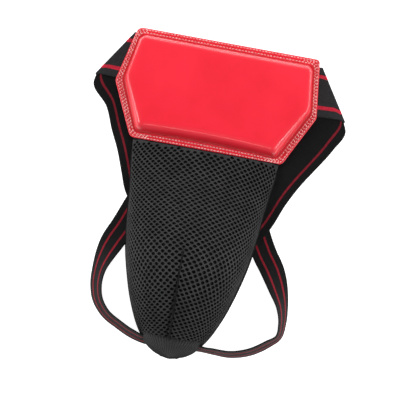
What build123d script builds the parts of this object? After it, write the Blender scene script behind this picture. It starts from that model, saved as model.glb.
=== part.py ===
from build123d import *
from math import cos, radians, sin
import os

os.makedirs("parts", exist_ok=True)

# Groin protector lying on its back, in millimetres: +Y points to the waist, +Z out of the front,
# z = 0 is the surface that it lies on. Plan coordinates are measured from the middle of the seam
# between the belly pad and the pocket, which stands at (SEAM_X, SEAM_Y) in the part's frame.

SEAM_X = -4.5
SEAM_Y = 50.5

# Elastic bands; the waist's is 50 wide between its two edges
LEG_WIDTH = 25.0
BAND = 1.5  # thickness of every elastic
UNDER = 0.0  # level of the elastic that has been folded under
OVER = 1.7  # level of the elastic that lies above it

# Layers of the belly pad and the pocket, upwards
BACK_Z = 3.4  # underside of the pad's lining and of the pocket's binding
BASE_Z = 4.2  # top of the lining; the pad's foam and the pocket's front begin here
FLANGE_Z = 6.4  # top of the pad's stitched flange
PAD_TOP_Z = 18.0
LEATHER = 1.6
SOFT_FOAM = 2.0

# Belly pad in plan: corners of its flange, and of its raised panel where that starts and at its top,
# from the lower left one around to the left
PAD = [(-77.6, 0.4), (77.0, 0.4), (103.3, 51.6), (96.2, 110.5), (-88.6, 110.5), (-102.3, 54.2)]
PANEL = [(-73.0, 7.4), (69.4, 7.0), (96.4, 56.8), (90.2, 102.6), (-84.6, 103.4), (-93.6, 57.6)]
CROWN = [(-68.4, 17.0), (63.6, 16.0), (92.0, 59.4), (86.8, 98.8), (-81.0, 99.6), (-89.2, 60.0)]
CORNER_RADIUS = 6.0
STITCH_ROWS = (2.2, 4.6)  # distances of the two rows from the flange's edge
THREAD = 0.8

# Pocket: (y, half width, height above BASE_Z) of its arched cross-sections, from seam to tip
POCKET = [
    (-0.6, 74.3, 5.0),
    (-28.0, 71.0, 14.0),
    (-56.0, 67.6, 31.0),
    (-84.0, 65.2, 46.0),
    (-113.0, 60.8, 55.0),
    (-138.0, 54.5, 54.5),
    (-157.0, 48.5, 49.5),
    (-175.0, 41.0, 41.0),
    (-190.0, 32.5, 30.0),
    (-202.0, 20.5, 17.0),
    (-209.5, 7.0, 5.5),
]
THINNEST = 0.8  # least height of an arch that is drawn in
MESH = 2.0  # thickness of the spacer mesh
BACKING = 0.6  # thickness of the cloth behind the mesh

# Cup: the same for its outside
CUP = [
    (-62.0, 24.0, 10.0),
    (-71.0, 42.0, 23.0),
    (-86.0, 52.0, 36.0),
    (-113.0, 53.0, 47.5),
    (-138.0, 47.0, 48.0),
    (-157.0, 41.0, 42.5),
    (-175.0, 33.0, 33.0),
    (-186.0, 24.0, 22.0),
    (-194.0, 13.0, 10.0),
]
CUP_WALL = 3.0
RIM_CUSHION = 4.0
RIM_HEIGHT = 4.0
RIM_GAP = 0.6
VENT_RADIUS = 4.0
VENT_PITCH_X = 20.0
VENT_PITCH_Y = 17.0
VENT_ROWS = 4
VENT_MIDDLE_Y = -128.0

VENT_COLUMNS = 3
VENT_DEPTH = 60.0
LINING_GAP = 1.2  # between the cup and the lining that is dished into it
LINING = 0.8

# Seam tape behind the dart in the mesh
DART_X = -4.3
DART_TOP_Y = -98.0
DART_END_Y = -190.0
TAPE = 0.8
TAPE_WIDTH = 10.0
TAPE_DROP = 1.8  # below the backing's crown, so that the tape's edges clear its sides

FOAM_GAP = 3.4  # between the backing and the foam above the cup

# Binding and panel under the pocket
BINDING_OUT = 1.2
BINDING_IN = 6.0
PANEL_GAP = 0.2
HINGE_GAP = 0.4
HINGE_TAPE = (146.0, 11.0)
TAPE_ROOM = (200.0, 24.0)  # cut out of the binding for the hinge tape, centred on the seam
PANEL_ROOM = (200.0, 24.6)

# Waist elastic in plan: points on its folds
LEFT_FOLD_TOP = (-90.0, 104.6)
LEFT_FOLD_LOW = (-123.5, 53.6)
RIGHT_FOLD_TOP = (99.0, 103.4)
RIGHT_FOLD_LOW = (132.5, 47.0)
CREASE = 2.5  # width of the fold
LEFT_SEAM_OUT = -96.0
LEFT_SEAM_IN = -40.5
RIGHT_SEAM_OUT = 112.5
RIGHT_SEAM_IN = 56.5
REAR_X = 5.0  # where the two halves meet behind the cup
REAR_GAP = 0.2
REAR_OUTER_Y = -186.0
REAR_INNER_Y = -127.0
SEWN_X = 54.0  # how far in the elastic is sewn behind the pad
SEWN_DROP = 1.0

# Patches that hold the elastics
JOINT_TAB = (34.0, 46.0)
JOINT_TAB_THICK = 1.0
JOINT_TAB_RADIUS = 4.0
PATCH = (10.0, 40.0)
PATCH_X = 60.0
PATCH_Y = 77.0
PATCH_Z = 0.7
TIP_TAB = (40.0, 12.0)
TIP_TAB_Y = -196.0
TIP_TAB_Z = 1.6
PATCH_RADIUS = 3.0
LEG_TAB_RADIUS = 8.0
LEG_TAB_THICK = 0.15

# Leg elastics: (x, y, lean of the width from flat in degrees, height of the lower edge). They lean
# with their inner edge up.
LEFT_LEG = [
    (-54.0, -51.0, 0, 1.7),
    (-62.0, -72.0, 0, 1.7),
    (-69.0, -90.0, 0, 1.7),
    (-75.5, -104.0, 0, 1.2),
    (-80.5, -118.0, 30, 0.2),
    (-84.0, -134.0, 52, 0.2),
    (-84.2, -149.5, 58, 0.2),
    (-80.0, -164.6, 60, 0.2),
    (-69.8, -177.8, 63, 0.2),
    (-54.6, -187.0, 63, 0.2),
    (-41.0, -193.6, 56, 0.2),
]
RIGHT_LEG = [
    (57.0, -52.0, 0, 1.7),
    (66.0, -72.0, 0, 1.7),
    (76.5, -91.0, 0, 1.7),
    (87.0, -106.0, 6, 0.8),
    (96.0, -123.0, 36, 0.2),
    (102.5, -139.0, 60, 0.2),
    (105.6, -155.0, 76, 0.2),
    (104.0, -170.0, 84, 0.2),
    (93.0, -182.0, 80, 0.2),
    (78.0, -191.0, 80, 0.2),
    (60.0, -196.5, 80, 0.2),
    (38.0, -197.0, 82, 0.2),
]
# Each leg loop swings about a line just outside the pocket's edge, given by two plan points
LEFT_LINE = ((-72.0, -84.0), (-50.0, -198.0))
RIGHT_LINE = ((76.0, -84.0), (50.0, -201.0))


def level(z):
    """Plan plane at height z, with its origin at the middle of the seam."""
    return Plane((SEAM_X, SEAM_Y, z))


def across(y):
    """Upright plane across the pocket at plan coordinate y, with its origin at BASE_Z."""
    return Plane((SEAM_X, SEAM_Y + y, BASE_Z), x_dir=(1, 0, 0), z_dir=(0, -1, 0))


def at(x, y, z):
    """Plan coordinates to the part's frame."""
    return Vector(SEAM_X + x, SEAM_Y + y, z)


def save(piece, name):
    piece.part.label = name
    export_step(piece.part, f"parts/{name}.step")


def rounded(corners, inset=0):
    """Closed outline with round corners, drawn in by inset."""
    with BuildSketch() as outline:
        with BuildLine():
            Polyline(*corners, close=True)
        make_face()
        fillet(outline.vertices(), CORNER_RADIUS)
        if inset:
            offset(amount=-inset, mode=Mode.REPLACE)
    return outline.sketch


def plate(points, low, high):
    """Flat piece with a polygon outline in plan."""
    with BuildPart() as piece:
        with BuildSketch(level(low)):
            with BuildLine():
                Polyline(*points, close=True)
            make_face()
        extrude(amount=high - low)
    return piece.part


def panel(inset, bottom_z, top_z):
    """Raised middle of the pad: straight up to the flange's top, then bevelled to top_z."""
    with BuildPart() as piece:
        with BuildSketch(level(bottom_z)):
            add(rounded(PANEL, inset))
        extrude(amount=FLANGE_Z - bottom_z)
        with BuildSketch(level(FLANGE_Z)):
            add(rounded(PANEL, inset))
        with BuildSketch(level(top_z)):
            add(rounded(CROWN, inset))
        loft()
    return piece.part


def drawn_in(sections, inset):
    """The same row of arches, smaller all round by inset."""
    smaller = []
    for number, (y, half_width, height) in enumerate(sections):
        shift = {0: -inset, len(sections) - 1: inset}.get(number, 0)
        smaller.append((y + shift, half_width - inset, max(height - inset, THINNEST)))
    return smaller


def arch(half_width, height):
    """Upper half of an ellipse, standing on the sketch's x axis."""
    with BuildSketch() as half:
        Ellipse(half_width, height)
        Rectangle(2 * half_width, height, align=(Align.CENTER, Align.MIN), mode=Mode.INTERSECT)
    return half.sketch


def dome(sections):
    """Solid over a row of arches."""
    with BuildPart() as piece:
        for y, half_width, height in sections:
            with BuildSketch(across(y)):
                add(arch(half_width, height))
        loft()
    return piece.part


def shell(sections, wall, ends):
    """Hollow dome, open below, closed by a plate at each of the ends named (0 or -1)."""
    with BuildPart() as piece:
        for y, half_width, height in sections:
            with BuildSketch(across(y)):
                add(arch(half_width, height))
                add(arch(half_width - wall, max(height - wall, THINNEST)), mode=Mode.SUBTRACT)
        loft()
        for end in ends:
            y, half_width, height = sections[end]
            with BuildSketch(across(y)):
                add(arch(half_width, height))
            extrude(amount=wall if end else -wall)
    return piece.part


def outline_of(sections):
    """Plan outline of a row of arches."""
    sides = [(half_width, y) for y, half_width, _ in sections]
    first, last = sides[0], sides[-1]
    with BuildSketch() as outline:
        with BuildLine():
            Spline(*sides)
            Spline(*[(-x, y) for x, y in sides])
            Line(first, (-first[0], first[1]))
            Line(last, (-last[0], last[1]))
        make_face()
    return outline.sketch


def ribbon(stations):
    """Flat elastic lofted through its stations."""
    with BuildPart() as piece:
        for number, (x, y, lean, lift) in enumerate(stations):
            before = stations[max(number - 1, 0)]
            after = stations[min(number + 1, len(stations) - 1)]
            along = Vector(after[0] - before[0], after[1] - before[1], 0).normalized()
            side = -1 if x > 0 else 1
            wide = along.cross(Vector(0, 0, 1)).rotate(Axis((0, 0, 0), along), side * lean)
            middle = lift + LEG_WIDTH / 2 * sin(radians(lean)) + BAND / 2 * cos(radians(lean))
            with BuildSketch(Plane(at(x, y, middle), x_dir=wide, z_dir=along)):
                Rectangle(LEG_WIDTH, BAND)
        loft(ruled=True)
    return piece.part


def upright(line):
    """Upright plane through two plan points; its normal points away from the pocket."""
    (x0, y0), (x1, y1) = line
    side = 1 if x0 > 0 else -1
    normal = Vector(side * (y0 - y1), side * (x1 - x0), 0)
    return Plane(at(x0, y0, 0), z_dir=normal)


# ---- belly pad ------------------------------------------------------------------------------

pad_outline = rounded(PAD)
panel_outside = panel(0, BASE_Z, PAD_TOP_Z)
panel_cavity = panel(LEATHER, BASE_Z, PAD_TOP_Z - LEATHER)

with BuildPart() as pad_cover:
    with BuildSketch(level(BASE_Z)):
        add(pad_outline)
    extrude(amount=FLANGE_Z - BASE_Z)
    add(panel_outside)
    add(panel_cavity, mode=Mode.SUBTRACT)
save(pad_cover, "pad_cover")

foam_joint = Plane.XY.offset(BASE_Z + SOFT_FOAM)
with BuildPart() as pad_foam_core:
    add(panel_cavity)
    split(bisect_by=foam_joint, keep=Keep.TOP)
save(pad_foam_core, "pad_foam_core")

with BuildPart() as pad_soft_foam:
    add(panel_cavity)
    split(bisect_by=foam_joint, keep=Keep.BOTTOM)
save(pad_soft_foam, "pad_soft_foam")

with BuildPart() as pad_lining:
    with BuildSketch(level(BACK_Z)):
        add(pad_outline)
    extrude(amount=BASE_Z - BACK_Z)
save(pad_lining, "pad_lining")

with BuildPart() as pad_stitch_rows:
    with BuildSketch(level(FLANGE_Z)):
        for row in STITCH_ROWS:
            offset(pad_outline, amount=-row)
            offset(pad_outline, amount=-row - THREAD, mode=Mode.SUBTRACT)
    extrude(amount=THREAD / 2)
save(pad_stitch_rows, "pad_stitch_rows")

# ---- waist elastic --------------------------------------------------------------------------


def waist_half(fold_top, fold_low, outer_at_seam, inner_at_seam):
    """Pad's side of one half: sewn end above, fold, and the part folded under down to the seam."""
    side = 1 if fold_top[0] > 0 else -1
    sewn = [
        (side * SEWN_X, fold_top[1] - SEWN_DROP),
        fold_top,
        fold_low,
        (side * SEWN_X, fold_low[1] - SEWN_DROP),
    ]
    under = [fold_top, fold_low, (outer_at_seam, HINGE_GAP), (inner_at_seam, HINGE_GAP)]
    crease = [
        fold_top,
        fold_low,
        (fold_low[0] - side * CREASE, fold_low[1]),
        (fold_top[0] - side * CREASE, fold_top[1]),
    ]
    with BuildPart() as half:
        add(plate(sewn, OVER, OVER + BAND))
        add(plate(under, UNDER, UNDER + BAND))
        add(plate(crease, UNDER, OVER + BAND))
    return half


waist_band_left = waist_half(LEFT_FOLD_TOP, LEFT_FOLD_LOW, LEFT_SEAM_OUT, LEFT_SEAM_IN)
save(waist_band_left, "waist_band_left")
waist_band_right = waist_half(RIGHT_FOLD_TOP, RIGHT_FOLD_LOW, RIGHT_SEAM_OUT, RIGHT_SEAM_IN)
save(waist_band_right, "waist_band_right")


def waist_rear(out_x, in_x, meet_x):
    """Rear part of one half, from the seam to where the halves meet behind the cup."""
    points = [
        (out_x, -HINGE_GAP),
        (in_x, -HINGE_GAP),
        (meet_x, REAR_INNER_Y),
        (meet_x, REAR_OUTER_Y),
    ]
    with BuildPart() as half:
        add(plate(points, UNDER, UNDER + BAND))
    return half


waist_band_rear_left = waist_rear(LEFT_SEAM_OUT, LEFT_SEAM_IN, REAR_X - REAR_GAP)
save(waist_band_rear_left, "waist_band_rear_left")
waist_band_rear_right = waist_rear(RIGHT_SEAM_OUT, RIGHT_SEAM_IN, REAR_X + REAR_GAP)
save(waist_band_rear_right, "waist_band_rear_right")

with BuildPart() as rear_joint_tab:
    with BuildSketch(level(OVER)):
        with Locations((REAR_X, (REAR_INNER_Y + REAR_OUTER_Y) / 2)):
            RectangleRounded(*JOINT_TAB, JOINT_TAB_RADIUS)
    extrude(amount=JOINT_TAB_THICK)
save(rear_joint_tab, "rear_joint_tab")

for side, name in ((-1, "left"), (1, "right")):
    with BuildPart() as anchor:
        with BuildSketch(level(PATCH_Z)):
            with Locations((side * PATCH_X, PATCH_Y)):
                RectangleRounded(*PATCH, PATCH_RADIUS)
        extrude(amount=OVER - PATCH_Z)
    save(anchor, f"band_anchor_{name}")

# ---- pocket ---------------------------------------------------------------------------------

with BuildPart() as mesh_front:
    add(shell(POCKET, MESH, [-1]))
save(mesh_front, "mesh_front")

with BuildPart() as front_backing:
    add(shell(drawn_in(POCKET, MESH), BACKING, [-1]))
save(front_backing, "front_backing")

with BuildPart() as dart_tape:
    for y, half_width, height in drawn_in(POCKET, MESH + BACKING):
        if DART_END_Y <= y <= DART_TOP_Y:
            crown = height * (1 - (DART_X / half_width) ** 2) ** 0.5
            with BuildSketch(across(y)):
                with Locations((DART_X, crown - TAPE_DROP)):
                    Rectangle(TAPE_WIDTH, TAPE)
    loft()
save(dart_tape, "dart_tape")

with BuildPart() as upper_pocket_foam:
    add(dome(drawn_in(POCKET[:3], MESH + BACKING + FOAM_GAP)))
save(upper_pocket_foam, "upper_pocket_foam")

binding_inside = outline_of(drawn_in(POCKET, BINDING_IN))
with BuildPart() as pocket_edge_binding:
    with BuildSketch(level(BACK_Z)):
        add(outline_of(drawn_in(POCKET, -BINDING_OUT)))
        add(binding_inside, mode=Mode.SUBTRACT)
        Rectangle(*TAPE_ROOM, mode=Mode.SUBTRACT)
    extrude(amount=BASE_Z - BACK_Z)
save(pocket_edge_binding, "pocket_edge_binding")

with BuildPart() as hinge_tape:
    with BuildSketch(level(BACK_Z)):
        with Locations((0, -HINGE_GAP)):
            Rectangle(*HINGE_TAPE, align=(Align.CENTER, Align.MAX))
    extrude(amount=BASE_Z - BACK_Z)
save(hinge_tape, "hinge_tape")

with BuildPart() as cup_shell:
    add(shell(CUP, CUP_WALL, [0, -1]))
    with BuildSketch(level(BASE_Z)):
        with Locations((0, VENT_MIDDLE_Y)):
            with GridLocations(VENT_PITCH_X, VENT_PITCH_Y, VENT_COLUMNS, VENT_ROWS):
                Circle(VENT_RADIUS)
    extrude(amount=VENT_DEPTH, mode=Mode.SUBTRACT)
save(cup_shell, "cup_shell")

DISH = drawn_in(CUP, CUP_WALL + LINING_GAP)
with BuildPart() as cup_lining:
    add(shell(DISH, LINING, [0, -1]))
save(cup_lining, "cup_lining")

with BuildPart() as rear_panel:
    with BuildSketch(level(BACK_Z)):
        add(outline_of(drawn_in(POCKET, BINDING_IN + PANEL_GAP)))
        add(outline_of(drawn_in(DISH, LINING)), mode=Mode.SUBTRACT)
        Rectangle(*PANEL_ROOM, mode=Mode.SUBTRACT)
    extrude(amount=BASE_Z - BACK_Z)
save(rear_panel, "rear_panel")

CUP_RIM = drawn_in(CUP, 0)
CUP_RIM[0] = (CUP[0][0] + CUP_WALL, *CUP[0][1:])
CUP_RIM[-1] = (CUP[-1][0] - CUP_WALL, *CUP[-1][1:])
with BuildPart() as cup_rim_cushion:
    with BuildSketch(level(BASE_Z)):
        add(outline_of(drawn_in(CUP_RIM, -RIM_CUSHION)))
        add(outline_of(drawn_in(CUP_RIM, -RIM_GAP)), mode=Mode.SUBTRACT)
    extrude(amount=RIM_HEIGHT)
save(cup_rim_cushion, "cup_rim_cushion")

with BuildPart() as tip_anchor_tab:
    with BuildSketch(level(TIP_TAB_Z)):
        with Locations((0, TIP_TAB_Y)):
            RectangleRounded(*TIP_TAB, PATCH_RADIUS)
    extrude(amount=BACK_Z - TIP_TAB_Z)
save(tip_anchor_tab, "tip_anchor_tab")

# ---- leg elastics ---------------------------------------------------------------------------

for name, stations, line in (("left", LEFT_LEG, LEFT_LINE), ("right", RIGHT_LEG, RIGHT_LINE)):
    whole = ribbon(stations)
    outside = upright(line)
    with BuildPart() as loop:
        add(whole)
        split(bisect_by=outside, keep=Keep.TOP)
    save(loop, f"{name}_leg_strap")
    with BuildPart() as ends:
        add(whole)
        split(bisect_by=outside.offset(-HINGE_GAP), keep=Keep.BOTTOM)
        split(bisect_by=Plane.XY.offset(BACK_Z), keep=Keep.BOTTOM)
    save(ends, f"{name}_leg_strap_ends")
    bar = stations[0]
    with BuildPart() as tab:
        with BuildSketch(level(OVER + BAND)):
            with Locations((bar[0], bar[1])):
                Circle(LEG_TAB_RADIUS)
        extrude(amount=LEG_TAB_THICK)
    save(tab, f"{name}_leg_tab")
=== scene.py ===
"""The looks of a groin protector that lies on its back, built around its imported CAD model.

Plan coordinates are millimetres from the middle of the seam between the belly pad and the pocket:
x to the right, y to the waist, and z up from the surface that it lies on.
"""
import math

import bmesh
import bpy
import numpy as np
from mathutils import Matrix, Vector


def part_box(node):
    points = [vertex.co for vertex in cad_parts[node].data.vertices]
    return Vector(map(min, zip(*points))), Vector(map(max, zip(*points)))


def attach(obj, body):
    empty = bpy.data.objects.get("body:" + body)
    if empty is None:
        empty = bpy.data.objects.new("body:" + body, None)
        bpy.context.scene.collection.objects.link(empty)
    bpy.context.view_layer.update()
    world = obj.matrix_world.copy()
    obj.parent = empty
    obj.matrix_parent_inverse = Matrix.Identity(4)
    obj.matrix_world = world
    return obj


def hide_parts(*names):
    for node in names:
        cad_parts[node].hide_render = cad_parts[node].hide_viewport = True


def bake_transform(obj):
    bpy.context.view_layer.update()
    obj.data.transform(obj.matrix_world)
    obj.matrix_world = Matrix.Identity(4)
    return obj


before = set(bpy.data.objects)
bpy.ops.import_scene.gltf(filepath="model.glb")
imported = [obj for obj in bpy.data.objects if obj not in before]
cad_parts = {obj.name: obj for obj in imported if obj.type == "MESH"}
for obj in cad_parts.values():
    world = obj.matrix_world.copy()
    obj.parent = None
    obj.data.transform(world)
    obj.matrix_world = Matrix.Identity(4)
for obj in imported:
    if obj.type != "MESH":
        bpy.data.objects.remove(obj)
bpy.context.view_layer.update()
bpy.context.scene.view_settings.view_transform = "Standard"

MM = 0.001
pad_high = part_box("pad_cover")[1]
mesh_low, mesh_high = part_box("mesh_front")
SEAM = np.array([(mesh_low.x + mesh_high.x) / 2, mesh_high.y + 0.6 * MM, 0.0])
PAD_TOP = pad_high.z / MM
BASE = mesh_low.z / MM  # the pocket's front and the pad's foam stand on this level
FLANGE = BASE + 2.2  # top of the pad's stitched flange


def to_frame(points):
    """Plan millimetres to the frame's metres."""
    return np.asarray(points, float) * MM + SEAM


def make_object(name, points, faces, smooth=True):
    """Mesh object from plan points and faces, with normals outwards."""
    mesh = bpy.data.meshes.new(name)
    mesh.from_pydata(to_frame(points).tolist(), [], faces)
    mesh.validate()
    mesh.update()
    obj = bpy.data.objects.new(name, mesh)
    bpy.context.scene.collection.objects.link(obj)
    mesh.polygons.foreach_set("use_smooth", [smooth] * len(mesh.polygons))
    return obj


def weld(obj, distance=0.02 * MM):
    """Joins the points that lie on each other, and drops faces without area."""
    work = bmesh.new()
    work.from_mesh(obj.data)
    bmesh.ops.remove_doubles(work, verts=work.verts, dist=distance)
    bmesh.ops.dissolve_degenerate(work, edges=work.edges, dist=distance / 2)
    bmesh.ops.recalc_face_normals(work, faces=work.faces)
    work.to_mesh(obj.data)
    work.free()
    obj.data.polygons.foreach_set("use_smooth", [True] * len(obj.data.polygons))


def set_attribute(obj, name, values):
    """One number for each point, for a material to read."""
    layer = obj.data.attributes.new(name, "FLOAT", "POINT")
    layer.data.foreach_set("value", np.asarray(values, np.float32))


def finish_piece(obj, material, body, replaced=()):
    """Material, slot and body of a new piece, and the CAD nodes that it replaces."""
    obj.data.materials.clear()
    obj.data.materials.append(material)
    if body:
        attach(obj, body)
    if replaced:
        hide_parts(*replaced)
    return obj


# ---- materials ------------------------------------------------------------------------------


class Shader:
    """A node material with one Principled shader, and short ways to add nodes to it."""

    def __init__(self, name, colour, roughness, specular=0.2, **sockets):
        self.material = bpy.data.materials.new(name)
        self.material.use_nodes = True
        self.nodes = self.material.node_tree.nodes
        self.links = self.material.node_tree.links
        self.main = self.nodes["Principled BSDF"]
        self.main.inputs["Base Color"].default_value = (*colour, 1)
        self.main.inputs["Roughness"].default_value = roughness
        self.main.inputs["Specular IOR Level"].default_value = specular
        for socket, value in sockets.items():
            self.main.inputs[socket.replace("_", " ")].default_value = value
        self.place = self.node("ShaderNodeTexCoord").outputs["Object"]

    def node(self, kind, **settings):
        made = self.nodes.new(kind)
        for key, value in settings.items():
            setattr(made, key, value)
        return made

    def link(self, source, target):
        self.links.new(source, target)

    def noise(self, scale, detail=3.0, roughness=0.5, stretch=(1, 1, 1)):
        mapping = self.node("ShaderNodeMapping")
        mapping.inputs["Scale"].default_value = stretch
        self.link(self.place, mapping.inputs["Vector"])
        made = self.node("ShaderNodeTexNoise")
        made.inputs["Scale"].default_value = scale
        made.inputs["Detail"].default_value = detail
        made.inputs["Roughness"].default_value = roughness
        self.link(mapping.outputs["Vector"], made.inputs["Vector"])
        return made.outputs["Fac"]

    def voronoi(self, scale, feature="F1"):
        made = self.node("ShaderNodeTexVoronoi", feature=feature)
        made.inputs["Scale"].default_value = scale
        self.link(self.place, made.inputs["Vector"])
        return made.outputs["Distance"]

    def attribute(self, name):
        return self.node("ShaderNodeAttribute", attribute_name=name).outputs["Fac"]

    def math(self, operation, first, second=None, third=None):
        made = self.node("ShaderNodeMath", operation=operation)
        for socket, value in zip(made.inputs, (first, second, third)):
            if value is None:
                continue
            if isinstance(value, (int, float)):
                socket.default_value = value
            else:
                self.link(value, socket)
        return made.outputs["Value"]

    def ramp(self, factor, stops):
        made = self.node("ShaderNodeValToRGB")
        elements = made.color_ramp.elements
        while len(elements) < len(stops):
            elements.new(0.5)
        for element, (position, colour) in zip(elements, stops):
            element.position = position
            element.color = (*colour, 1)
        self.link(factor, made.inputs["Fac"])
        return made.outputs["Color"]

    def mix(self, factor, first, second):
        made = self.node("ShaderNodeMix", data_type="RGBA")
        for socket, value in ((0, factor), (6, first), (7, second)):
            if isinstance(value, tuple):
                made.inputs[socket].default_value = (*value, 1)
            elif isinstance(value, (int, float)):
                made.inputs[socket].default_value = value
            else:
                self.link(value, made.inputs[socket])
        return made.outputs[2]

    def colour(self, source):
        self.link(source, self.main.inputs["Base Color"])

    def rough(self, source, low, high):
        made = self.node("ShaderNodeMapRange")
        made.inputs["To Min"].default_value = low
        made.inputs["To Max"].default_value = high
        self.link(source, made.inputs["Value"])
        self.link(made.outputs["Result"], self.main.inputs["Roughness"])

    def bump(self, height, distance, strength=1.0):
        made = self.node("ShaderNodeBump")
        made.inputs["Distance"].default_value = distance
        made.inputs["Strength"].default_value = strength
        self.link(height, made.inputs["Height"])
        if self.main.inputs["Normal"].is_linked:
            earlier = self.main.inputs["Normal"].links[0].from_socket
            self.link(earlier, made.inputs["Normal"])
        self.link(made.outputs["Normal"], self.main.inputs["Normal"])


def red_leather():
    s = Shader("red_leather", (0.86, 0.021, 0.042), 0.3, 0.5, Coat_Weight=0.6, Coat_Roughness=0.16)
    cloud = s.noise(22, 3)
    base = s.ramp(cloud, [(0.3, (0.84, 0.017, 0.036)), (0.7, (0.92, 0.022, 0.046))])
    # The "edge" attribute darkens the leather towards a dark red. It is painted shade in the groove and at
    # the foot of the bevel, strongest on the lower bevel. The flange also gets a darker tone, more so on its
    # slanted sides.
    painted_shade = s.attribute("edge")
    s.colour(s.mix(painted_shade, base, (0.42, 0.008, 0.010)))
    s.rough(s.noise(90, 2), 0.26, 0.36)
    s.bump(s.voronoi(1500), 0.00006, 0.35)
    s.bump(s.noise(3200, 2), 0.00003, 0.4)
    return s.material


def stitch_thread():
    s = Shader("stitch_thread", (0.80, 0.20, 0.22), 0.55, Sheen_Weight=0.3)
    s.colour(s.ramp(s.noise(160, 2), [(0.35, (0.82, 0.24, 0.25)), (0.65, (0.95, 0.58, 0.56))]))
    s.bump(s.noise(5000, 2, stretch=(1, 1, 0.3)), 0.0001, 0.6)
    return s.material


def spacer_mesh():
    s = Shader("spacer_mesh", (0.04, 0.04, 0.042), 0.72, 0.2)
    cloud = s.noise(60, 4)
    yarn = s.ramp(cloud, [(0.3, (0.022, 0.022, 0.0225)), (0.7, (0.037, 0.037, 0.0375))])
    # The attribute mixes the yarn towards near black. This is painted shade down the hole walls, in the
    # valleys of the ribbed end and towards the tip.
    painted_yarn_shade = s.attribute("painted_yarn_shade")
    s.colour(s.mix(painted_yarn_shade, yarn, (0.004, 0.004, 0.004)))
    s.bump(s.noise(2600, 3), 0.0002, 0.7)
    return s.material


def dark_cloth(name, colour=(0.006, 0.006, 0.006)):
    s = Shader(name, colour, 0.85, 0.1)
    lighter = tuple(1.8 * c + 0.002 for c in colour)
    s.colour(s.ramp(s.noise(300, 3), [(0.35, colour), (0.65, lighter)]))
    s.bump(s.noise(1800, 2, stretch=(1, 1, 1)), 0.00015, 0.6)
    return s.material


def elastic(name, outer, inner, rib):
    """Woven elastic with fine ribs; each face has its cloth, stripe, the stripes' middles and their width."""
    s = Shader(name, outer[0], 0.7, 0.12)
    across = s.attribute("across")
    along = s.attribute("along")
    ragged = s.math("SUBTRACT", s.noise(900, 2), 0.5)
    faces = []
    for cloth, stripe, middles, width in (inner, outer):
        distance = None
        for middle in middles:
            away = s.math("ABSOLUTE", s.math("SUBTRACT", across, middle))
            distance = away if distance is None else s.math("MINIMUM", distance, away)
        half = s.math("MULTIPLY_ADD", ragged, 0.25 * width, width / 2)
        inside = s.math("DIVIDE", s.math("SUBTRACT", half, distance), 0.3)
        faces.append(s.mix(s.math("MINIMUM", s.math("MAXIMUM", inside, 0), 1), cloth, stripe))
    mixed = s.mix(s.attribute("outside"), *faces)
    tone = s.ramp(s.noise(420, 3), [(0.3, (0.72, 0.72, 0.72)), (0.7, (1, 1, 1))])
    shaded = s.node("ShaderNodeMix", data_type="RGBA", blend_type="MULTIPLY")
    shaded.inputs[0].default_value = 1
    s.link(mixed, shaded.inputs[6])
    s.link(tone, shaded.inputs[7])
    s.colour(shaded.outputs[2])
    ribs = s.math("SINE", s.math("MULTIPLY", along, math.tau / rib))
    cords = s.math("SINE", s.math("MULTIPLY", across, math.tau / 0.9))
    s.bump(s.math("MULTIPLY", s.math("ADD", ribs, 1), s.math("ADD", cords, 1.4)), 0.00012, 0.5)
    return s.material


def plain(name, colour, roughness, grain=400.0):
    s = Shader(name, colour, roughness)
    darker = tuple(0.75 * c for c in colour)
    s.colour(s.ramp(s.noise(grain / 4, 3), [(0.3, darker), (0.7, colour)]))
    s.bump(s.noise(grain, 3), 0.0001, 0.4)
    return s.material


LEATHER = red_leather()
THREAD = stitch_thread()
MESH_CLOTH = spacer_mesh()
BLACK_CLOTH = dark_cloth("black_lining")
TAPE_CLOTH = dark_cloth("woven_tape", (0.011, 0.011, 0.012))
# The inner face's cloth and stripes are far darker than the outer face's. Its narrower, weaker stripes are
# woven that way, and the rest of its darkness is painted shade.
WAIST_ELASTIC = elastic(
    "waist_elastic",
    ((0.028, 0.028, 0.030), (0.62, 0.022, 0.050), (9.5, 40.5), 4.0),
    ((0.0035, 0.0035, 0.004), (0.20, 0.008, 0.018), (8.2, 41.8), 2.3),
    1.3,
)
LEG_FACE = ((0.006, 0.006, 0.0065), (0.27, 0.010, 0.022), (7.4, 17.6), 2.2)
LEG_ELASTIC = elastic("leg_elastic", LEG_FACE, LEG_FACE, 1.1)

# ---- belly pad ------------------------------------------------------------------------------

PAD_CORNERS = [(-77.6, 0.4), (77, -0.2), (103.3, 51.6), (96.2, 110.4), (-88.6, 110.6), (-102.3, 54.2)]
PANEL_CORNERS = [(-73, 6.8), (69.4, 5.4), (96.4, 56.8), (90.2, 102.4), (-84.6, 103.7), (-93.6, 57.6)]
CROWN_CORNERS = [(-68.4, 16.2), (63.6, 14.2), (92.6, 59.4), (87.2, 98.8), (-81.6, 100.3), (-90.1, 60)]
PAD_RADII = (7, 6, 9, 4, 8, 9)
PANEL_RADII = (7, 6, 14, 7, 8, 16)
STEP = 1.1  # spacing of points along the outline


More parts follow.
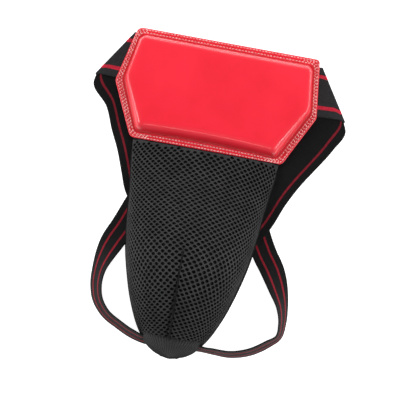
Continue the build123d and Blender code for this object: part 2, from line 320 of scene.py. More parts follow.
def rounded(corners, radii, counts, arc=8):
    """Closed outline with round corners and the same number of points for any size of it."""
    corners = np.asarray(corners, float)
    outline = []
    sides = len(corners)
    ends = []
    for i in range(sides):
        before, here, after = corners[i - 1], corners[i], corners[(i + 1) % sides]
        to_before = (before - here) / np.linalg.norm(before - here)
        to_after = (after - here) / np.linalg.norm(after - here)
        half = math.acos(float(np.clip(to_before @ to_after, -1, 1))) / 2
        reach = radii[i] / math.tan(half)
        middle = to_before + to_after
        centre = here + middle / np.linalg.norm(middle) * radii[i] / math.sin(half)
        start, stop = here + to_before * reach, here + to_after * reach
        first = math.atan2(*(start - centre)[::-1])
        last = math.atan2(*(stop - centre)[::-1])
        turn = (last - first + math.pi) % math.tau - math.pi
        angles = first + turn * np.linspace(0, 1, arc)
        ends.append(centre + radii[i] * np.stack([np.cos(angles), np.sin(angles)], 1))
    for i in range(sides):
        outline.extend(ends[i])
        start, stop = ends[i][-1], ends[(i + 1) % sides][0]
        share = np.linspace(0, 1, counts[i] + 2)[1:-1, None]
        outline.extend(start + (stop - start) * share)
    return np.array(outline)


def bowed(outline, rise):
    """The outline with the middle of its lower side pushed up by rise."""
    low = np.clip((32 - outline[:, 1]) / 14, 0, 1)
    span = np.clip(1 - (outline[:, 0] / 66) ** 2, 0, 1)
    return outline + np.column_stack([np.zeros(len(outline)), rise * low * span])


def side_counts(corners):
    """How many points each side of an outline gets."""
    corners = np.asarray(corners, float)
    lengths = np.linalg.norm(np.roll(corners, -1, 0) - corners, axis=1)
    return [int(length / STEP) for length in lengths]


PAD_COUNTS = side_counts(PAD_CORNERS)
PAD_EDGE = rounded(PAD_CORNERS, PAD_RADII, PAD_COUNTS)
PANEL_EDGE = bowed(rounded(PANEL_CORNERS, PANEL_RADII, PAD_COUNTS), 1.6)
CROWN_EDGE = bowed(rounded(CROWN_CORNERS, PANEL_RADII, PAD_COUNTS), 2.6)
STITCH_ROWS = (0.24, 0.66)  # of the flange's width, from its outer edge
STITCH_SPACING = 3.2
ZIGZAG_FROM = 79  # distance from the middle where the zigzag starts, on the slanted sides
ZIGZAG_FROM_LOW = 60  # and along the lower edge, which lies below ZIGZAG_LOW
ZIGZAG_LOW = 8
ZIGZAG_TURN = math.radians(52)
BEVEL_POWER = 1.25  # 2 is a straight slope and 1 a quarter round
SPINE = 50.0  # half length of the line that the face's rings shrink to
SPINE_Y = 60.0


def outline_normals(outline):
    """Unit normals of a closed outline, outwards."""
    along = np.roll(outline, -1, 0) - np.roll(outline, 1, 0)
    along /= np.linalg.norm(along, axis=1)[:, None]
    return np.stack([along[:, 1], -along[:, 0]], 1)


def ring_mesh(rings):
    """Points and faces of closed rings joined one to the next."""
    count = len(rings[0])
    points = np.concatenate(rings)
    faces = []
    for r in range(len(rings) - 1):
        a, b = r * count, (r + 1) * count
        for i in range(count):
            j = (i + 1) % count
            faces.append((a + i, a + j, b + j, b + i))
    return points, faces


def face_height(x, y):
    """Small unevenness of the pad's face: a soft crown, slow waves and one dent."""
    waves = 0.22 * np.sin(x / 23 + 1.1) * np.cos(y / 17 - 0.6) + 0.10 * np.sin(x / 9 + y / 13)
    dent = -0.6 * np.exp(-(((x + 56) / 6) ** 2 + ((y - 22) / 3) ** 2))
    return waves + dent


def belly_pad():
    """Leather cover: rolled edge, stitched flange, groove, bevel and softly crowned face."""
    normal = outline_normals(PAD_EDGE)
    rings = []
    tone = []

    def add_ring(plan, height, edge=0.0):
        rings.append(np.column_stack([plan, np.broadcast_to(height, len(plan))]))
        tone.append(np.broadcast_to(edge, len(plan)))

    # The last argument of add_ring goes into the "edge" attribute. It is painted shade in the groove and at
    # the foot of the bevel, more so on the lower side. It also gives the flange a darker tone, more so on its
    # slanted sides.
    slanted = np.clip((0.98 - np.abs(normal[:, 1])) / 0.15, 0, 1)
    lower = np.clip((-normal[:, 1] - 0.6) / 0.35, 0, 1)
    inside = PAD_EDGE - 3.0 * normal
    add_ring(inside, BASE + 0.05)
    for drop, height in ((0.5, 0.05), (0.1, 0.5), (0.0, 1.1), (0.15, 1.7), (0.6, 2.1)):
        add_ring(PAD_EDGE - drop * normal, BASE + height)
    for number in range(1, 9):
        share = number / 9
        plan = PAD_EDGE + (PANEL_EDGE - PAD_EDGE) * share
        sunk = min(abs(share - row) for row in STITCH_ROWS) < 0.08
        add_ring(plan, FLANGE + (-0.2 if sunk else 0.1 + 0.25 * share ** 3), 0.22 + 0.3 * slanted)
    add_ring(PANEL_EDGE, FLANGE - 0.35, 0.6)
    rise = PAD_TOP - FLANGE - 0.7
    for turn in np.linspace(0, math.pi / 2, 16)[1:]:
        share = 1 - math.cos(turn) ** BEVEL_POWER
        height = FLANGE - 0.2 + (rise + 0.2) * math.sin(turn) ** BEVEL_POWER
        shade = 0.5 * (1 - share) ** 3 + lower * 0.35 * (1 - share)
        add_ring(PANEL_EDGE + (CROWN_EDGE - PANEL_EDGE) * share, height, shade)
    spine = np.column_stack([np.clip(CROWN_EDGE[:, 0], -SPINE, SPINE), np.full(len(CROWN_EDGE), SPINE_Y)])
    for share in np.linspace(0, 1, 34)[1:]:
        plan = CROWN_EDGE + (spine - CROWN_EDGE) * share
        crown = 0.55 * (1 - (1 - share) ** 2) + 0.6 * (1 - math.exp(-share * 26))
        settled = min(1.0, share * 4)
        add_ring(plan, FLANGE + rise + crown + settled * face_height(plan[:, 0], plan[:, 1]))
    points, faces = ring_mesh(rings)
    obj = make_object("belly_pad_leather", points, faces)
    set_attribute(obj, "edge", np.concatenate(tone))
    weld(obj)
    return obj


def stitch(points, faces, centre, along, up, length, radius, bow=0.25):
    """Adds one stitch: a short thread that dips into the cloth at both ends."""
    side = np.cross(up, along)
    start = len(points)
    sections, around = 6, 6
    for k in range(sections + 1):
        t = -1 + 2 * k / sections
        r = radius * (1 - t ** 4) ** 0.5 + 0.02
        middle = centre + along * (t * length / 2) + up * (bow * (1 - t * t) - 0.1)
        for a in range(around):
            angle = math.tau * a / around
            points.append(middle + r * (math.cos(angle) * side + math.sin(angle) * up))
    for k in range(sections):
        for a in range(around):
            b = (a + 1) % around
            low, high = start + k * around, start + (k + 1) * around
            faces.append((low + a, low + b, high + b, high + a))
    faces.append(tuple(start + a for a in reversed(range(around))))
    faces.append(tuple(start + sections * around + a for a in range(around)))


def walk(outline, spacing):
    """Evenly spaced places along a closed outline, and the outline's direction at each."""
    line = np.concatenate([outline, outline[:1]])
    steps = np.linalg.norm(np.diff(line, axis=0), axis=1)
    along = np.concatenate([[0], np.cumsum(steps)])
    count = int(along[-1] / spacing)
    at = (np.arange(count) + 0.5) * along[-1] / count
    places = np.stack([np.interp(at, along, line[:, k]) for k in range(line.shape[1])], 1)
    ahead = np.stack([np.interp(at + 0.3, along, line[:, k]) for k in range(line.shape[1])], 1)
    behind = np.stack([np.interp(at - 0.3, along, line[:, k]) for k in range(line.shape[1])], 1)
    direction = ahead - behind
    return places, direction / np.linalg.norm(direction, axis=1)[:, None]


def pad_stitches():
    """Two rows of stitches along the flange, and a zigzag between them on its slanted sides."""
    points, faces = [], []
    up = np.array([0, 0, 1.0])
    for share in STITCH_ROWS:
        row = PAD_EDGE + (PANEL_EDGE - PAD_EDGE) * share
        places, directions = walk(row, STITCH_SPACING)
        for (x, y), (dx, dy) in zip(places, directions):
            along = np.array([dx, dy, 0.0])
            stitch(points, faces, np.array([x, y, FLANGE]), along, up, 2.5, 0.5)
    row = PAD_EDGE + (PANEL_EDGE - PAD_EDGE) * sum(STITCH_ROWS) / 2
    places, directions = walk(row, STITCH_SPACING)
    for number, ((x, y), (dx, dy)) in enumerate(zip(places, directions)):
        if abs(x) < (ZIGZAG_FROM if y > ZIGZAG_LOW else ZIGZAG_FROM_LOW):
            continue
        turn = ZIGZAG_TURN if number % 2 else -ZIGZAG_TURN
        cos, sin = math.cos(turn), math.sin(turn)
        along = np.array([dx * cos - dy * sin, dx * sin + dy * cos, 0])
        stitch(points, faces, np.array([x, y, FLANGE + 0.08]), along, up, 2.7, 0.42)
    return make_object("belly_pad_stitches", points, faces)


pad = belly_pad()
finish_piece(pad, LEATHER, "pad", ("pad_cover",))
finish_piece(pad_stitches(), THREAD, "pad", ("pad_stitch_rows",))

# ---- pocket ---------------------------------------------------------------------------------

# y, half width and height of the pocket's arched cross-sections, from the seam to the tip
SECTIONS = np.array([
    (-0.6, 74.3, 5.0), (-28, 71, 14), (-56, 67.6, 31), (-84, 65.2, 46), (-113, 60.8, 55), (-138, 54.5, 54.5),
    (-157, 48.5, 49.5), (-175, 41.3, 41), (-190, 33, 29), (-198, 27, 20.5), (-204, 20.5, 13), (-208, 13.2, 7),
    (-210.4, 5.6, 2.6), (-211.3, 1.2, 0.8),
])
DART_X = -4.3  # the dart runs down from DART_TOP to DART_END a little beside the middle
DART_TOP = -98.0
DART_END = -196.0
DART_AT = 118.0  # length of cloth from the seam to the top of the dart
CAP_TOP = -187.0  # the ribbed end of the pocket starts here
RIBS = 34
RIB_HEIGHT = 0.2
HOLE_PITCH = 6.9  # from hole to hole in a row; every second row is shifted by half of it
ROW_PITCH = 2.8
HOLE_LONG = 2.1  # half lengths of a hole across and along the pocket
HOLE_SHORT = 1.5
CLOTH_HALF = 125  # half the cloth's width before the dart is closed
ROWS_ABOVE = 8  # rows of holes that start beyond the seam, because rows fall away to both sides


def smooth_through(at, xs, values):
    """Smooth curve through (xs, values), with slopes from the neighbouring points."""
    slopes = np.gradient(values, xs)
    i = np.clip(np.searchsorted(xs, at) - 1, 0, len(xs) - 2)
    width = xs[i + 1] - xs[i]
    t = (at - xs[i]) / width
    h00 = 2 * t ** 3 - 3 * t ** 2 + 1
    h10 = t ** 3 - 2 * t ** 2 + t
    h01 = -2 * t ** 3 + 3 * t ** 2
    h11 = t ** 3 - t ** 2
    return (h00 * values[i] + h10 * width * slopes[i] + h01 * values[i + 1] + h11 * width * slopes[i + 1])


STATION_Y = SECTIONS[::-1, 0]


def half_width(y):
    """Half the pocket's width at y."""
    return smooth_through(y, STATION_Y, SECTIONS[::-1, 1])


def crown(y):
    """Height of the pocket's middle at y."""
    return smooth_through(y, STATION_Y, SECTIONS[::-1, 2])


FINE_Y = np.linspace(SECTIONS[0, 0], SECTIONS[-1, 0], 900)
CROWN_LENGTH = np.concatenate([[0], np.cumsum(np.hypot(np.diff(FINE_Y), np.diff(crown(FINE_Y))))])
QUARTER = np.linspace(0, math.pi / 2, 41)


def on_dome(s, t):
    """Points of the pocket's front: s across, along the cloth from its middle, t down from the seam."""
    t = np.clip(t, 0, CROWN_LENGTH[-1])
    y = np.interp(t, CROWN_LENGTH, FINE_Y)
    w, h = half_width(y), crown(y)
    arc = np.hypot(w[:, None] * np.cos(QUARTER), h[:, None] * np.sin(QUARTER))
    pieces = (arc[:, 1:] + arc[:, :-1]) / 2 * (QUARTER[1] - QUARTER[0])
    table = np.concatenate([np.zeros((len(y), 1)), np.cumsum(pieces, 1)], 1)
    reach = np.minimum(np.abs(s), table[:, -1])
    index = np.clip((table < reach[:, None]).sum(1), 1, len(QUARTER) - 1)
    rows = np.arange(len(y))
    low, high = table[rows, index - 1], table[rows, index]
    angle = QUARTER[index - 1] + (reach - low) / np.maximum(high - low, 1e-9) * (QUARTER[1] - QUARTER[0])
    return np.column_stack([np.sign(s) * w * np.sin(angle), y, BASE + h * np.cos(angle)])


def half_arc(w, h):
    """Length of the cloth from the pocket's middle to its edge, for half width w and height h."""
    return math.pi / 4 * (w + h) * (1 + 0.25 * ((w - h) / np.maximum(w + h, 1e-6)) ** 2)


def dome_normal(s, t):
    """Unit normals of the pocket's front, outwards."""
    gap = 0.4
    across = on_dome(s + gap, t) - on_dome(s - gap, t)
    down = on_dome(s, t + gap) - on_dome(s, t - gap)
    normal = np.cross(down, across)
    normal[:, 2] += 1e-6
    length = np.linalg.norm(normal, axis=1)
    flat = length < 1e-4
    normal[flat] = (0, 0, 1)
    return normal / np.where(flat, 1, length)[:, None]


def row_fall(s, t):
    """How far a row of holes falls towards the tip on its way out from the middle."""
    out = np.abs(s)
    near = np.minimum(out, 45)
    above = 0.0022 * near ** 2 + 0.2 * (out - near)
    turned = np.clip((t - DART_AT + 18) / 40, 0, 1)
    return above * (1 - turned) + 0.24 * out * turned


def closed_up(s, t):
    """Across position of the cloth once the wedge of the dart is taken out and its two sides meet."""
    past = t - DART_AT
    taken = 0.15 * (past + np.sqrt(past ** 2 + 60)) * (t > 20)
    tighter = np.abs(s) - 2.0e-5 * np.abs(s) ** 3
    return np.sign(s) * np.maximum(tighter - taken, 0)


def dart_depth(points):
    """The crease along the dart, deepest in its middle stretch."""
    along = np.clip((DART_TOP - points[:, 1]) / 14, 0, 1) * np.clip((points[:, 1] - DART_END) / 16, 0, 1)
    lean = DART_X + 0.01 * (points[:, 1] - DART_TOP)
    away = np.abs(points[:, 0] - lean)
    return along * (1.5 * np.exp(-(away / 0.9) ** 2) + 0.7 * np.exp(-(away / 4.5) ** 2))


def pocket_mesh():
    """Spacer mesh with its holes: one cell of cloth around each hole, in staggered rows."""
    rows = int(CROWN_LENGTH[-1] / ROW_PITCH) + ROWS_ABOVE
    columns = int(CLOTH_HALF / HOLE_PITCH)
    corner = np.array([(0.5, -1 / 3), (0.5, 0), (0.5, 1 / 3), (0.25, 0.5), (0, 2 / 3), (-0.25, 0.5)])
    corner = np.concatenate([corner, -corner])
    angles = np.arctan2(corner[:, 1] * ROW_PITCH / HOLE_SHORT, corner[:, 0] * HOLE_PITCH / HOLE_LONG)
    round_off = (np.abs(np.cos(angles)) ** 1.6 + np.abs(np.sin(angles)) ** 1.6) ** (-1 / 1.6)
    hole = np.column_stack([HOLE_LONG * np.cos(angles), HOLE_SHORT * np.sin(angles)]) * round_off[:, None]
    cell = corner * (HOLE_PITCH, ROW_PITCH)
    # The cell's outline, then the hole's rim and its wall down to the backing
    rings = [(cell, 0.12), (hole * 1.1, 0.04), (hole, -0.4), (hole * 0.97, -1.5)]
    around, depth = len(cell), len(rings)
    s_all, t_all, lift_all = [], [], []
    random = np.random.default_rng(4)
    for j in range(rows):
        for i in range(-columns, columns + 1):
            s0 = (i + 0.5 * (j % 2)) * HOLE_PITCH
            t0 = (j - ROWS_ABOVE) * ROW_PITCH
            wobble = random.normal(0, 0.08, 2)
            for number, (shape, lift) in enumerate(rings):
                shift = wobble if number else (0, 0)
                s_all.append(s0 + shape[:, 0] + shift[0])
                t_all.append(t0 + shape[:, 1] + shift[1])
                lift_all.append(np.full(around, lift))
    s, t = np.concatenate(s_all), np.concatenate(t_all)
    t = t + row_fall(s, t)
    beside = closed_up(s, t)
    shut = np.abs(beside) < 1e-6
    s = beside + DART_X * np.clip(t / 60, 0, 1)
    y = np.interp(np.clip(t, 0, CROWN_LENGTH[-1]), CROWN_LENGTH, FINE_Y)
    w, h = half_width(y), crown(y)
    outside = (np.abs(s) > half_arc(w, h) + 0.05) | (t < -0.05) | (t > CROWN_LENGTH[-1])
    cells = outside.reshape(-1, depth, around)
    keep = ~cells[:, 0].all(1) & ~shut.reshape(-1, depth, around)[:, 0].all(1)
    whole = ~cells[:, 1].any(1)
    points = on_dome(s, t)
    normal = dome_normal(s, t)
    lift = np.concatenate(lift_all)
    points = points + normal * (lift - dart_depth(points))[:, None]
    faces = []
    for c in np.nonzero(keep)[0]:
        base = c * depth * around
        if not whole[c]:
            faces.append(tuple(base + k for k in range(around)))
            continue
        for r in range(depth - 1):
            low, high = base + around * r, base + around * (r + 1)
            for k in range(around):
                n = (k + 1) % around
                quad = (low + k, low + n, high + n, high + k)
                if not shut[list(quad)].all():
                    faces.append(quad)
    obj = make_object("pocket_mesh", points, faces)
    # Painted shade: darker down the hole walls and over the last stretch towards the tip.
    set_attribute(obj, "painted_yarn_shade", np.clip(-lift / 1.1 + 0.3 * np.clip((t - 140) / 60, 0, 1), 0, 1))
    remove_loose(obj)
    weld(obj, 0.05 * MM)
    return obj


def remove_loose(obj):
    """Drops the points without a face."""
    work = bmesh.new()
    work.from_mesh(obj.data)
    bmesh.ops.delete(work, geom=[v for v in work.verts if not v.link_faces], context="VERTS")
    work.to_mesh(obj.data)
    work.free()


def closed_sheet(across, down):
    """Faces of a sheet of two layers of points, closed along its edge."""
    size = across * down
    faces = []
    for r in range(down - 1):
        for c in range(across - 1):
            a = r * across + c
            quad = (a, a + 1, a + across + 1, a + across)
            faces.append(quad)
            faces.append(tuple(size + k for k in reversed(quad)))
    edge = list(range(across))
    edge += [r * across + across - 1 for r in range(1, down)]
    edge += [(down - 1) * across + c for c in reversed(range(across - 1))]
    edge += [r * across for r in reversed(range(1, down - 1))]
    for a, b in zip(edge, edge[1:] + edge[:1]):
        faces.append((a, a + size, b + size, b))
    return faces


def dome_sheet(name, inset, thickness, across=60, down=90):
    """Plain cloth under the mesh, with the same shape."""
    layers = []
    for depth in (inset, inset + thickness):
        share, fall = np.meshgrid(np.linspace(-1, 1, across), np.linspace(0.004, 0.992, down))
        t = fall.ravel() * CROWN_LENGTH[-1]
        y = np.interp(t, CROWN_LENGTH, FINE_Y)
        w, h = half_width(y), crown(y)
        s = share.ravel() * half_arc(w, h)
        place = on_dome(s, t)
        place = place - dome_normal(s, t) * np.minimum(depth, h * 0.5)[:, None]
        place -= dome_normal(s, t) * (0.7 * dart_depth(place))[:, None]
        place[:, 2] = np.maximum(place[:, 2], BASE + 0.1)
        layers.append(place)
    points = np.concatenate(layers)
    return make_object(name, points, closed_sheet(across, down))


mesh_piece = pocket_mesh()
finish_piece(mesh_piece, MESH_CLOTH, "pocket", ("mesh_front",))
backing = dome_sheet("pocket_backing", 1.55, 0.5)
finish_piece(backing, BLACK_CLOTH, "pocket", ("front_backing",))


def tube(name, line, radius, around=8):
    """Round piece along a line of points, closed at its ends."""
    along = np.gradient(line, axis=0)
    along /= np.linalg.norm(along, axis=1)[:, None]
    side = np.cross(along, (0, 0, 1.0))
    side /= np.linalg.norm(side, axis=1)[:, None]
    up = np.cross(side, along)
    radius = np.broadcast_to(radius, len(line))
    points, faces = [], []
    for angle in np.arange(around) * math.tau / around:
        points.append(line + radius[:, None] * (math.cos(angle) * side + math.sin(angle) * up))
    points = np.stack(points, 1).reshape(-1, 3)
    for r in range(len(line) - 1):
        for c in range(around):
            n = (c + 1) % around
            faces.append((r * around + c, r * around + n, (r + 1) * around + n, (r + 1) * around + c))
    last = (len(line) - 1) * around
    faces.append(tuple(reversed(range(around))))
    faces.append(tuple(last + c for c in range(around)))
    return make_object(name, points, faces)


def dart_seam():
    """The closed dart in the mesh: a thin dark ridge that sinks in at its ends."""
    y = np.linspace(DART_TOP + 1, DART_END + 4, 120)
    x = DART_X + 0.015 * (DART_TOP - y)
    z = BASE + crown(y) * np.sqrt(1 - (x / half_width(y)) ** 2)
    line = np.column_stack([x, y, z])
    ends = np.clip(np.minimum(DART_TOP + 1 - y, y - DART_END - 4) / 6, 0.12, 1)
    line[:, 2] += 0.45 - dart_depth(line)
    return tube("dart_seam", line, 0.75 * ends)


finish_piece(dart_seam(), BLACK_CLOTH, "pocket")


def ribbed_cap():
    """Closed end of the pocket: cloth gathered into fine ribs that run along its length."""
    across, down = 331, 26
    start = np.interp(-CAP_TOP, -FINE_Y, CROWN_LENGTH)
    fall = np.sin(np.linspace(0, math.pi / 2, down)) * 0.999
    share, fall = np.meshgrid(np.linspace(-1, 1, across), fall)
    share, fall = share.ravel(), fall.ravel()
    t = start + (CROWN_LENGTH[-1] - start) * fall
    y = np.interp(t, CROWN_LENGTH, FINE_Y)
    w, h = half_width(y), crown(y)
    s = share * half_arc(w, h)
    rib = RIB_HEIGHT * np.cos(share * RIBS * math.tau / 2)
    hem = 0.12 * np.exp(-((fall - 0.03) / 0.05) ** 2)
    place = on_dome(s, t)
    normal = dome_normal(s, t)
    top = place + normal * (0.22 + rib + hem - dart_depth(place))[:, None]
    under = place - normal * np.minimum(0.5, h * 0.4)[:, None] - normal * dart_depth(place)[:, None]
    obj = make_object("pocket_end", np.concatenate([top, under]), closed_sheet(across, down))
    # Painted shade: darker in the valleys between the ribs, and the whole end and its underside somewhat
    # darker.
    set_attribute(obj, "painted_yarn_shade", np.concatenate([0.5 - 1.9 * rib, np.full(len(under), 0.6)]))
    return obj


finish_piece(ribbed_cap(), MESH_CLOTH, "pocket")


def seam_piping():
    """Rolled edge of the mesh along the seam with the belly pad."""
    x = np.linspace(-73.5, 73.5, 120)
    line = np.column_stack([x, np.full(120, -0.5), np.full(120, BASE + 1.0)])
    return tube("seam_piping", line, 1.15, 10)


finish_piece(seam_piping(), BLACK_CLOTH, "pocket")

# ---- elastics -------------------------------------------------------------------------------

BAND = 1.5  # thickness of every elastic
WAIST_WIDTH = 50.0
LEG_WIDTH = 25.0


def band_section(width, stripes, stripe_width, thickness=BAND, across=36):
    """Cross-section of an elastic: (across, off its middle, outer face) for each point of the loop."""
    v = width * (0.5 - 0.5 * np.cos(np.linspace(0, math.pi, across)))
    v = 0.35 * v + 0.65 * np.linspace(0, width, across)
    edge = np.minimum(v, width - v)
    half = thickness / 2 * np.sqrt(np.clip(1 - (1 - np.clip(edge / 0.9, 0, 1)) ** 2, 0.02, 1))
    raised = sum(np.exp(-((v - c) / (stripe_width / 2)) ** 6) for c in stripes) * 0.12
    top = np.column_stack([v, half + raised - 0.06, np.ones(across)])
    under = np.column_stack([v, -(half + raised - 0.06), np.zeros(across)])[::-1]
    return np.concatenate([top, under])


def sweep(name, stations, section, mapping):
    """Band from its cross-section carried along stations; mapping gives the place of (u, v, w)."""
    count = len(section)
    u = np.repeat(stations, count)
    v = np.tile(section[:, 0], len(stations))
    w = np.tile(section[:, 1], len(stations))
    points = mapping(u, v, w)
    faces = []
    for r in range(len(stations) - 1):
        for c in range(count):
            n = (c + 1) % count
            faces.append((r * count + c, r * count + n, (r + 1) * count + n, (r + 1) * count + c))
    last = (len(stations) - 1) * count
    faces.append(tuple(reversed(range(count))))
    faces.append(tuple(last + c for c in range(count)))
    obj = make_object(name, points, faces)
    set_attribute(obj, "across", v)
    set_attribute(obj, "along", u)
    set_attribute(obj, "outside", np.tile(section[:, 2], len(stations)))
    return obj


def smooth(value):
    """Eased from 0 to 1."""
    value = np.clip(value, 0, 1)
    return value * value * (3 - 2 * value)


class Waist:
    """One half of the waist elastic: wing from the pad to a slanting crease, and back under it.

    Each part is ruled between its outer edge (lower edge of the wing) and its inner edge.
    """

    FOLD = 9  # stations round the crease

    def __init__(self, wing_outer, wing_inner, under_outer, under_inner, high, low, settle):
        self.settle = settle
        outer, inner, height, turn = [], [], [], []
        wing = (wing_outer, wing_inner), high, 0.0
        under = (under_outer, under_inner), low, math.pi
        for edges, level, angle in (wing, under):
            count = int(np.linalg.norm(np.diff(edges[0], axis=0), axis=1).sum() / STEP)
            outer.append(self.curve(edges[0], count))
            inner.append(self.curve(edges[1], count))
            height.append(np.full(count, level))
            turn.append(np.full(count, angle))
            if not angle:
                bends = np.linspace(0, math.pi, self.FOLD + 2)[1:-1]
                radius = (high - low) / 2
                top, foot = np.array(wing_inner[-1]), np.array(wing_outer[-1])
                away = np.array([foot[1] - top[1], top[0] - foot[0]]) / np.linalg.norm(foot - top)
                away *= np.sign(away[0] * foot[0])
                reach = away * radius * np.sin(bends)[:, None]
                outer.append(foot + reach)
                inner.append(top + reach)
                height.append((high + low) / 2 + radius * np.cos(bends))
                turn.append(bends)
                self.away = away
        self.outer, self.inner = np.concatenate(outer), np.concatenate(inner)
        self.height, self.turn = np.concatenate(height), np.concatenate(turn)
        middle = np.column_stack([(self.outer + self.inner) / 2, self.height])
        self.stations = np.concatenate([[0], np.cumsum(np.linalg.norm(np.diff(middle, axis=0), axis=1))])

    @staticmethod
    def curve(points, count):
        points = np.asarray(points, float)
        chord = np.concatenate([[0], np.cumsum(np.linalg.norm(np.diff(points, axis=0), axis=1))])
        at = np.linspace(0, chord[-1], count)
        return np.column_stack([smooth_through(at, chord, points[:, k]) for k in range(2)])

    def place(self, u, v, w):
        index = np.rint(np.interp(u, self.stations, np.arange(len(self.stations)))).astype(int)
        share = (v / WAIST_WIDTH)[:, None]
        plan = self.outer[index] * (1 - share) + self.inner[index] * share
        turn = self.turn[index]
        plan = plan + (w * np.sin(turn))[:, None] * self.away
        points = np.column_stack([plan, self.height[index] + w * np.cos(turn)])
        return self.settle(points, smooth(turn / math.pi))


def settle_left(points, under):
    """The left half rests on the floor in slow waves."""
    points[:, 2] += 0.35 * np.sin(points[:, 1] / 17) ** 2 * under
    return points


def settle_right(points, under):
    """The right half lies over the left one and over the start of the leg elastic."""
    over = smooth((-18 - points[:, 1]) / 34)
    points[:, 2] += (1.7 * over + 0.35 * np.cos(points[:, 1] / 19) ** 2 * (1 - over)) * under
    return points


waist_section = band_section(WAIST_WIDTH, (9.5, 40.5), 4.0)
left_waist = Waist(
    [(-54, 55.5), (-80, 56.2), (-101, 56.8), (-112, 57.2), (-119, 57.2), (-122.6, 56.2)],
    [(-54, 104.8), (-75, 105), (-82, 105), (-86, 105), (-88.5, 105), (-90, 105)],
    [(-122.6, 56.2), (-123.8, 49.4), (-106.2, 25.8), (-97, 4), (-88.4, -13.7), (-80, -35.8), (-74, -51.8),
     (-66, -65), (-50, -92), (-35, -120), (-20, -146)],
    [(-90, 105), (-84, 90), (-62.3, 49.8), (-51.4, 24.5), (-42.4, 6.3), (-33.4, -17.8), (-28.6, -30.8),
     (-22.7, -41), (-6.7, -67), (9, -95), (24, -121)],
    2.5, 0.8, settle_left,
)
right_waist = Waist(
    [(54, 53), (80, 53.6), (104.6, 53.8), (119, 54.4), (127, 54.4), (131.6, 52.6)],
    [(54, 103), (80, 103.3), (90, 103.4), (95, 103.4), (97.5, 103.4), (99, 103.4)],
    [(131.6, 52.6), (134.8, 45), (125.6, 23.4), (109.8, -1.8), (100.3, -16.7), (88.7, -38.7), (78.5, -64.1),
     (62, -92), (46, -120), (30, -146)],
    [(99, 103.4), (94, 86), (78.5, 42.7), (65, 21), (55, 6.3), (45.5, -13), (32.5, -43.5),
     (18.7, -67), (2.7, -95), (-13.3, -121)],
    2.5, 0.8, settle_right,
)
left_band = sweep("waist_elastic_left", left_waist.stations, waist_section, left_waist.place)
right_band = sweep("waist_elastic_right", right_waist.stations, waist_section, right_waist.place)
for band, side in ((left_band, "left"), (right_band, "right")):
    finish_piece(band, WAIST_ELASTIC, None, (f"waist_band_{side}", f"waist_band_rear_{side}"))
    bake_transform(band)

# Leg elastics: (x, y, lean of the width from flat in degrees, height of the lower edge, share of the width)
LEFT_LEG = [
    (-54, -51, 0, 1.75, 1), (-62, -72, 0, 1.75, 1), (-69, -90, 3, 1.5, 1), (-75.5, -104, 12, 0.7, 1),
    (-80.5, -118, 33, 0.3, 1), (-84, -134, 52, 0.2, 1), (-84.2, -149.5, 58, 0.2, 1),
    (-80, -164.6, 60, 0.2, 1),
    (-69.8, -177.2, 62, 0.2, 1), (-54.6, -186, 63, 0.2, 1), (-41, -192.2, 63, 0.2, 1),
    (-28.5, -195.6, 58, 0.3, 0.85), (-16, -193.5, 25, 0.6, 0.65), (-4, -191, 3, 1.6, 0.6),
]
RIGHT_LEG = [
    (57, -52, 0, 0.15, 1), (66, -72, 0, 0.15, 1), (76.5, -91, 4, 0.15, 1), (87, -106, 14, 0.2, 1),
    (96, -123, 36, 0.3, 1), (102.5, -139, 58, 0.2, 1), (105.6, -156, 68, 0.2, 1), (104.2, -170, 70, 0.2, 1),
    (94.5, -179, 66, 0.2, 1), (79.5, -189.2, 66, 0.2, 1), (60, -195.4, 68, 0.2, 1), (42, -195.6, 70, 0.2, 1),
    (28.5, -195.4, 66, 0.3, 0.8), (16, -193, 30, 0.6, 0.6), (4, -191, 3, 1.6, 0.6),
]


def catmull(stations, step=1.2):
    """Smooth curve through the stations, with points about step apart in plan."""
    stations = np.asarray(stations, float)
    chord = np.concatenate([[0], np.cumsum(np.linalg.norm(np.diff(stations[:, :2], axis=0), axis=1))])
    at = np.linspace(0, chord[-1], int(chord[-1] / step))
    columns = [smooth_through(at, chord, stations[:, k]) for k in range(stations.shape[1])]
    return np.column_stack(columns)


def leg_band(name, stations, side):
    """Leg elastic that leans up on its edge along its way."""
    line = catmull(stations)
    along = np.gradient(line[:, :2], axis=0)
    along /= np.linalg.norm(along, axis=1)[:, None]
    steps = np.linalg.norm(np.diff(line[:, :2], axis=0), axis=1)
    u = np.concatenate([[0], np.cumsum(steps)])
    inner = np.column_stack([-along[:, 1], along[:, 0]]) * side
    lean = np.radians(np.clip(line[:, 2], 0, 90))
    lift = np.maximum(line[:, 3], 0.1)
    width = LEG_WIDTH * line[:, 4]
    wide = np.column_stack([inner * np.cos(lean)[:, None], np.sin(lean)])
    face = np.column_stack([-inner * np.sin(lean)[:, None], np.cos(lean)])
    middle_z = lift + width / 2 * np.sin(lean) + BAND / 2 * np.cos(lean)
    middle = np.column_stack([line[:, :2], middle_z])

    def place(uu, v, w):
        index = np.rint(np.interp(uu, u, np.arange(len(u)))).astype(int)
        off = (v / LEG_WIDTH - 0.5) * width[index]
        return middle[index] + off[:, None] * wide[index] + w[:, None] * face[index]

    return sweep(name, u, band_section(LEG_WIDTH, (7.6, 17.4), 2.3, across=24), place)


# One leg elastic for each side, in place of the CAD strap and its ends
for side, stations, turn in (("left", LEFT_LEG, 1), ("right", RIGHT_LEG, -1)):
    strap = leg_band(f"leg_elastic_{side}", stations, turn)
    finish_piece(strap, LEG_ELASTIC, None, (f"{side}_leg_strap", f"{side}_leg_strap_ends"))
    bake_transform(strap)

# ---- pieces that keep their CAD shape -------------------------------------------------------

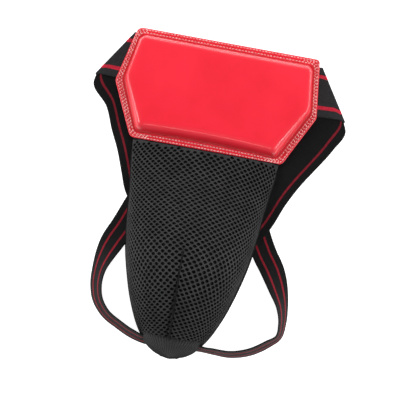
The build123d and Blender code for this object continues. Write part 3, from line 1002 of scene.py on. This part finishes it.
FOAM = plain("foam", (0.11, 0.11, 0.12), 0.9, 900)
CUP_PLASTIC = plain("cup_plastic", (0.04, 0.04, 0.045), 0.45, 1200)
RIM_RUBBER = plain("rim_rubber", (0.025, 0.025, 0.026), 0.6, 900)
KEPT = {
    "pad_foam_core": FOAM, "pad_soft_foam": FOAM, "upper_pocket_foam": FOAM, "cup_shell": CUP_PLASTIC,
    "cup_rim_cushion": RIM_RUBBER, "pad_lining": BLACK_CLOTH, "rear_panel": BLACK_CLOTH,
    "cup_lining": BLACK_CLOTH, "hinge_tape": TAPE_CLOTH, "pocket_edge_binding": TAPE_CLOTH,
    "dart_tape": TAPE_CLOTH, "rear_joint_tab": TAPE_CLOTH, "band_anchor_left": TAPE_CLOTH,
    "band_anchor_right": TAPE_CLOTH, "tip_anchor_tab": TAPE_CLOTH, "left_leg_tab": TAPE_CLOTH,
    "right_leg_tab": TAPE_CLOTH,
}
for name, material in KEPT.items():
    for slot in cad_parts[name].material_slots:
        slot.material = material

# ---- floor, lights and camera ---------------------------------------------------------------


def floor():
    """White paper that the object lies on."""
    bpy.ops.mesh.primitive_plane_add(size=6)
    obj = bpy.context.object
    obj.name = "floor"
    s = Shader("floor_paper", (0.9, 0.9, 0.9), 0.9, Emission_Color=(1, 1, 1, 1), Emission_Strength=0.95)
    s.colour(s.ramp(s.noise(3, 2), [(0.3, (0.69, 0.69, 0.69)), (0.7, (0.71, 0.71, 0.71))]))
    obj.data.materials.append(s.material)
    obj.location.z = -0.0004


def area_light(name, place, target, size, power):
    """Softbox at place that faces target."""
    data = bpy.data.lights.new(name, "AREA")
    data.shape = "RECTANGLE"
    data.size, data.size_y = size
    data.energy = power
    obj = bpy.data.objects.new(name, data)
    bpy.context.scene.collection.objects.link(obj)
    obj.location = place
    obj.rotation_euler = (Vector(target) - Vector(place)).to_track_quat("-Z", "Y").to_euler()


ROLL = math.radians(10.3)  # the object's length leans clockwise by this much in the view
VIEW_WIDTH = 400.0  # millimetres across the picture, level with the pad
VIEW_CENTRE = (2.9, -49.3, 8)
LENS = 100.0
SENSOR = 36.0


def camera():
    """Camera straight above, turned by ROLL."""
    data = bpy.data.cameras.new("camera")
    data.lens = LENS
    data.sensor_width = SENSOR
    obj = bpy.data.objects.new("camera", data)
    bpy.context.scene.collection.objects.link(obj)
    distance = VIEW_WIDTH * LENS / SENSOR * MM
    centre = to_frame(VIEW_CENTRE)
    above = Matrix.Translation((*centre[:2], centre[2] + distance))
    obj.matrix_world = above @ Matrix.Rotation(ROLL, 4, "Z")
    data.clip_end = 20
    bpy.context.scene.camera = obj


def sky():
    """Studio surroundings: dark overhead, pale towards the walls, and dim beyond the tip."""
    world = bpy.data.worlds.new("studio")
    bpy.context.scene.world = world
    world.use_nodes = True
    nodes, links = world.node_tree.nodes, world.node_tree.links
    parts = nodes.new("ShaderNodeSeparateXYZ")
    links.new(nodes.new("ShaderNodeTexCoord").outputs["Generated"], parts.inputs["Vector"])
    walls = nodes.new("ShaderNodeMapRange")
    for socket, value in (("From Min", 0.35), ("From Max", 1), ("To Min", 1), ("To Max", 0.1)):
        walls.inputs[socket].default_value = value
    links.new(parts.outputs["Z"], walls.inputs["Value"])
    sides = nodes.new("ShaderNodeMath")
    sides.operation = "MULTIPLY_ADD"
    sides.inputs[1].default_value = 0.42
    sides.inputs[2].default_value = 0.72
    links.new(parts.outputs["Y"], sides.inputs[0])
    strength = nodes.new("ShaderNodeMath")
    strength.operation = "MULTIPLY"
    links.new(walls.outputs["Result"], strength.inputs[0])
    links.new(sides.outputs["Value"], strength.inputs[1])
    links.new(strength.outputs["Value"], nodes["Background"].inputs["Strength"])
    nodes["Background"].inputs["Color"].default_value = (1, 1, 1, 1)


def lights():
    """Softboxes on three sides and a narrow strip in front."""
    sky()
    area_light("left_softbox", (-1.15, 0.0, 0.62), (0, 0, 0), (1.2, 0.3), 11)
    area_light("right_softbox", (1.15, 0.1, 0.62), (0, 0, 0), (1.2, 0.3), 11)
    area_light("back_softbox", (0.0, 1.1, 0.9), (0, 0.05, 0), (0.9, 0.3), 5)
    area_light("front_strip", (0.1, -0.75, 1.25), (0, 0, 0), (0.7, 0.12), 1.6)


floor()
lights()
camera()
